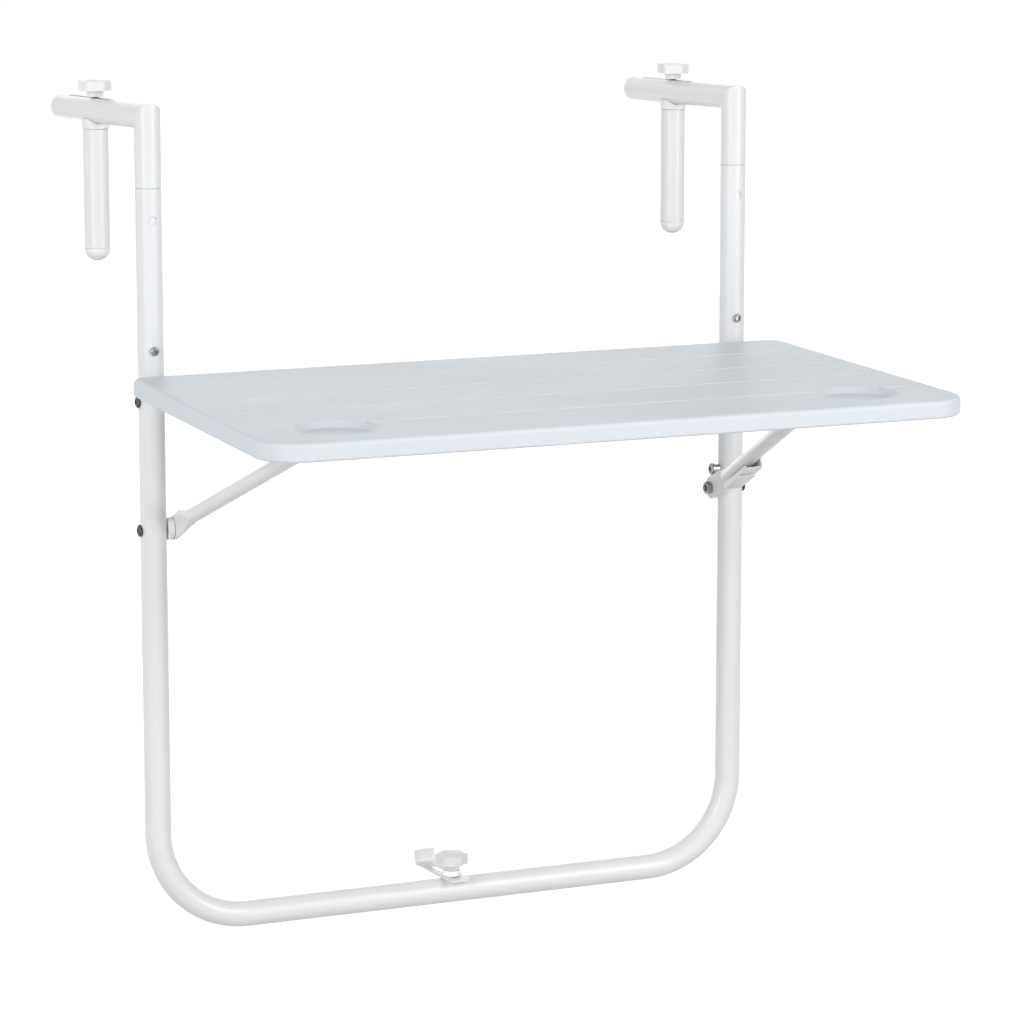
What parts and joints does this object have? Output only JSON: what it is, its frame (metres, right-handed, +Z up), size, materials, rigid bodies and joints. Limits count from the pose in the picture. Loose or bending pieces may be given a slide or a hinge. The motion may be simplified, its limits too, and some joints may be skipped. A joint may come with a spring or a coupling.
{
  "type": "balcony railing bar table",
  "caption": "White balcony table that hooks over a railing: bent tube frame, rail clamps with knobs, fold-down slatted tabletop with cup recesses, swing-out support bar and wall stop.",
  "frame": {"origin": "the railing seat: midway between the two posts, on their axes, level with the underside of the arms where they leave the posts", "axes": "+Z up, +Y away from the user and over the railing, +X to the user's right"},
  "size_m": [0.6, 0.6386, 0.7308],
  "materials": {
    "white_tube": "satin powder coat",
    "white_sheet": "satin powder coat",
    "table_plastic": "fine-grained moulded plastic",
    "white_plastic": "smooth moulded plastic",
    "grey_plastic": "satin moulded plastic",
    "dark_steel": "blackened steel",
    "zinc_steel": "zinc plated"
  },
  "bodies": {
    "frame": {"frame_tube": "white_tube", "height_screws": "zinc_steel", "hinge_bolts": "dark_steel", "hinge_nuts": "zinc_steel", "support_pivot_bolts": "dark_steel", "support_pivot_nuts": "zinc_steel", "support_spacers": "white_plastic", "support_stop_bolt": "zinc_steel", "wall_stop_insert": "zinc_steel"},
    "left_hook": {"left_hook_tube": "white_tube", "left_arm_end_cap": "white_plastic"},
    "right_hook": {"right_hook_tube": "white_tube", "right_arm_end_cap": "white_plastic"},
    "left_clamp": {"left_clamp_tube": "white_tube", "left_clamp_saddle": "white_plastic", "left_clamp_end_cap": "white_plastic"},
    "right_clamp": {"right_clamp_tube": "white_tube", "right_clamp_saddle": "white_plastic", "right_clamp_end_cap": "white_plastic"},
    "left_knob": {"left_clamp_knob": "white_plastic", "left_clamp_stud": "zinc_steel"},
    "right_knob": {"right_clamp_knob": "white_plastic", "right_clamp_stud": "zinc_steel"},
    "tabletop": {"tabletop_panel": "table_plastic", "left_hinge_bracket": "white_sheet", "right_hinge_bracket": "white_sheet", "bracket_screws": "zinc_steel"},
    "support": {"support_bar": "white_tube", "fold_clip": "white_sheet", "fold_clip_rivets": "zinc_steel"},
    "stop_collar": {"wall_stop_collar": "zinc_steel"},
    "stop_plate": {"wall_stop_plate": "white_sheet"},
    "stop_knob": {"wall_stop_knob": "grey_plastic", "wall_stop_stud": "zinc_steel"}
  },
  "joints": [
    {"name": "left_height", "type": "slide", "parent": "frame", "child": "left_hook", "axis": [0, 0, 1], "range_m": [0, 0.1105]},
    {"name": "right_height", "type": "slide", "parent": "frame", "child": "right_hook", "axis": [0, 0, 1], "range_m": [0, 0.1105]},
    {"name": "left_clamp_slide", "type": "slide", "parent": "left_hook", "child": "left_clamp", "axis": [-0.0349, 0.9987, -0.0366], "range_m": [-0.045, 0.065]},
    {"name": "right_clamp_slide", "type": "slide", "parent": "right_hook", "child": "right_clamp", "axis": [0.0349, 0.9987, -0.0366], "range_m": [-0.045, 0.065]},
    {"name": "left_knob_turn", "type": "hinge", "parent": "left_clamp", "child": "left_knob", "pos_m": [-0.27588, 0.13982, 0.00612], "axis": [0, 0, 1], "continuous": true},
    {"name": "right_knob_turn", "type": "hinge", "parent": "right_clamp", "child": "right_knob", "pos_m": [0.27588, 0.13982, 0.00612], "axis": [0, 0, 1], "continuous": true},
    {"name": "tabletop_fold", "type": "hinge", "parent": "frame", "child": "tabletop", "pos_m": [0, 0, -0.2295], "axis": [1, 0, 0], "range_deg": [0, 90]},
    {"name": "support_fold", "type": "hinge", "parent": "frame", "child": "support", "pos_m": [0, 0, -0.3402], "axis": [1, 0, 0], "range_deg": [0, 113.31]},
    {"name": "stop_swivel", "type": "hinge", "parent": "frame", "child": "stop_collar", "pos_m": [0, 0, -0.673], "axis": [0, 0, 1], "continuous": true},
    {"name": "stop_slide", "type": "slide", "parent": "stop_collar", "child": "stop_plate", "axis": [-0.1271, 0.9919, 0], "range_m": [-0.033, 0.007]},
    {"name": "stop_knob_turn", "type": "hinge", "parent": "frame", "child": "stop_knob", "pos_m": [0, 0, -0.665], "axis": [0, 0, 1], "continuous": true}
  ],
  "couplings": [
    {"joint": "support_fold", "follows": "tabletop_fold", "ratio": 1.2589}
  ]
}
